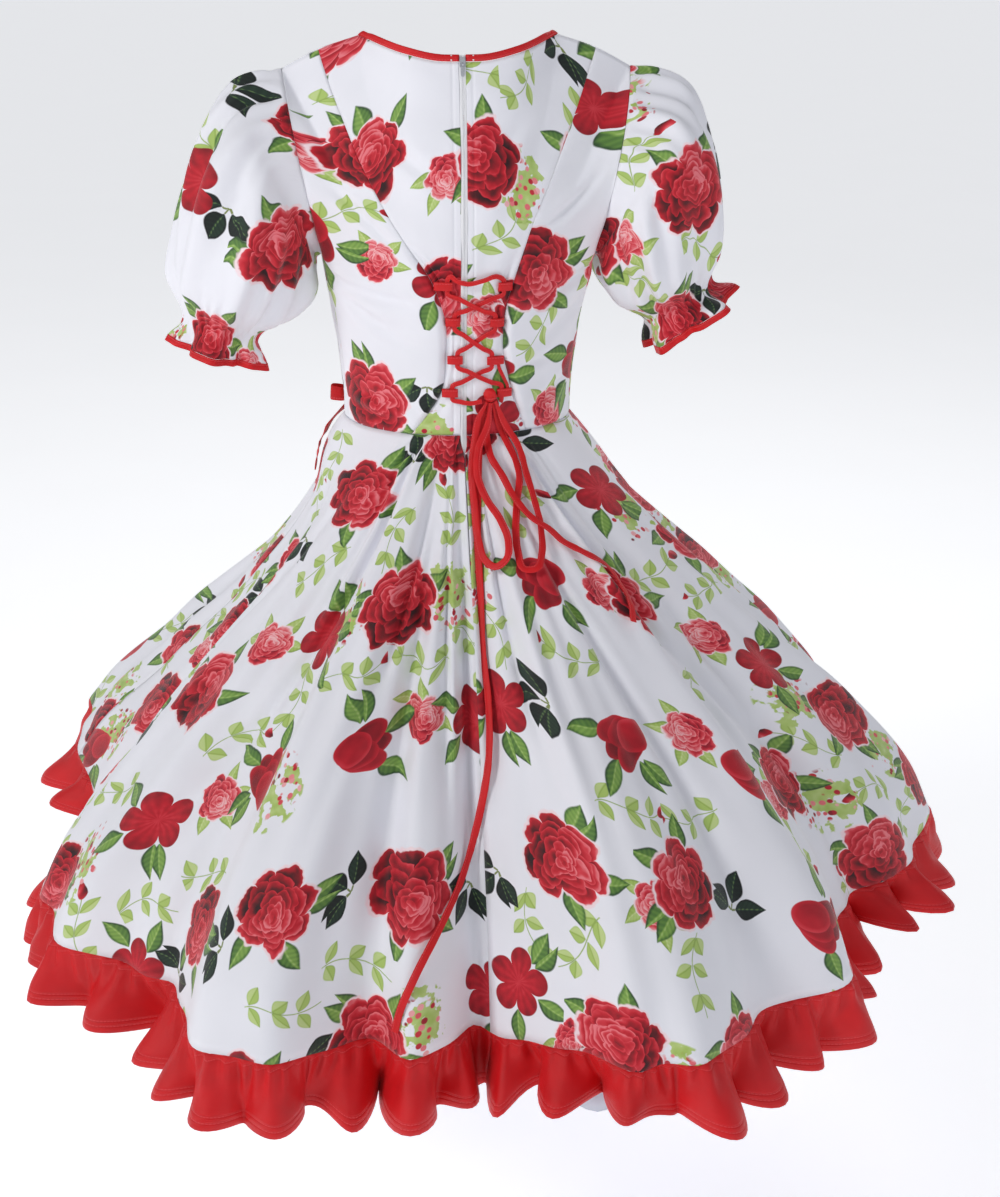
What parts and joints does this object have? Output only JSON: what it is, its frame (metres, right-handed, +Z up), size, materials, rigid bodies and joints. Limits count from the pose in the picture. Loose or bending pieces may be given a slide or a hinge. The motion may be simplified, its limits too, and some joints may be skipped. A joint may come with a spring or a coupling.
{
  "type": "cueca dress",
  "caption": "Knee-length dress with a laced back, puff sleeves, a full flared skirt and a gathered hem ruffle, filled out as worn.",
  "frame": {"origin": "midway between the shoulders, level with the sides of the neck, where the wearer holds the dress up", "axes": "+Z up; the dress's back faces -Y and its front +Y; the wearer's right is +X"},
  "size_m": [1.1111, 1.1409, 1.0231],
  "materials": {
    "printed_cloth": "matt woven polyester, printed",
    "red_cloth": "softly shining woven polyester",
    "lining_cloth": "thin matt lining",
    "zip_tape": "matt tape",
    "zip_metal": "satin"
  },
  "bodies": {
    "dress": {"back_left": "printed_cloth", "back_right": "printed_cloth", "bodice_front": "printed_cloth", "bow_loop_left": "red_cloth", "bow_loop_right": "red_cloth", "cuff_binding_left": "red_cloth", "cuff_binding_right": "red_cloth", "front_end_fore": "red_cloth", "front_end_rear": "red_cloth", "front_knot": "red_cloth", "front_loop_fore": "red_cloth", "front_loop_rear": "red_cloth", "lace_a": "red_cloth", "lace_b": "red_cloth", "lace_end_long": "red_cloth", "lace_end_short": "red_cloth", "lace_knot": "red_cloth", "lace_side_run": "red_cloth", "lacing_loop_left_1": "red_cloth", "lacing_loop_left_2": "red_cloth", "lacing_loop_left_3": "red_cloth", "lacing_loop_left_4": "red_cloth", "lacing_loop_right_1": "red_cloth", "lacing_loop_right_2": "red_cloth", "lacing_loop_right_3": "red_cloth", "lacing_loop_right_4": "red_cloth", "neck_binding": "red_cloth", "ruffle_back_left": "red_cloth", "ruffle_back_right": "red_cloth", "ruffle_front": "red_cloth", "side_back_left": "printed_cloth", "side_back_right": "printed_cloth", "skirt_back_left": "printed_cloth", "skirt_back_right": "printed_cloth", "skirt_front": "printed_cloth", "sleeve_left": "printed_cloth", "sleeve_right": "printed_cloth", "underskirt": "lining_cloth", "zip_slider": "zip_metal", "zip_tape_left": "zip_tape", "zip_tape_right": "zip_tape"},
    "pull": {"zip_pull": "zip_metal"}
  },
  "joints": [
    {"name": "pull_swing", "type": "hinge", "parent": "dress", "child": "pull", "pos_m": [0, -0.07791, -0.02818], "axis": [-1, 0, 0], "range_deg": [0, 150]}
  ]
}
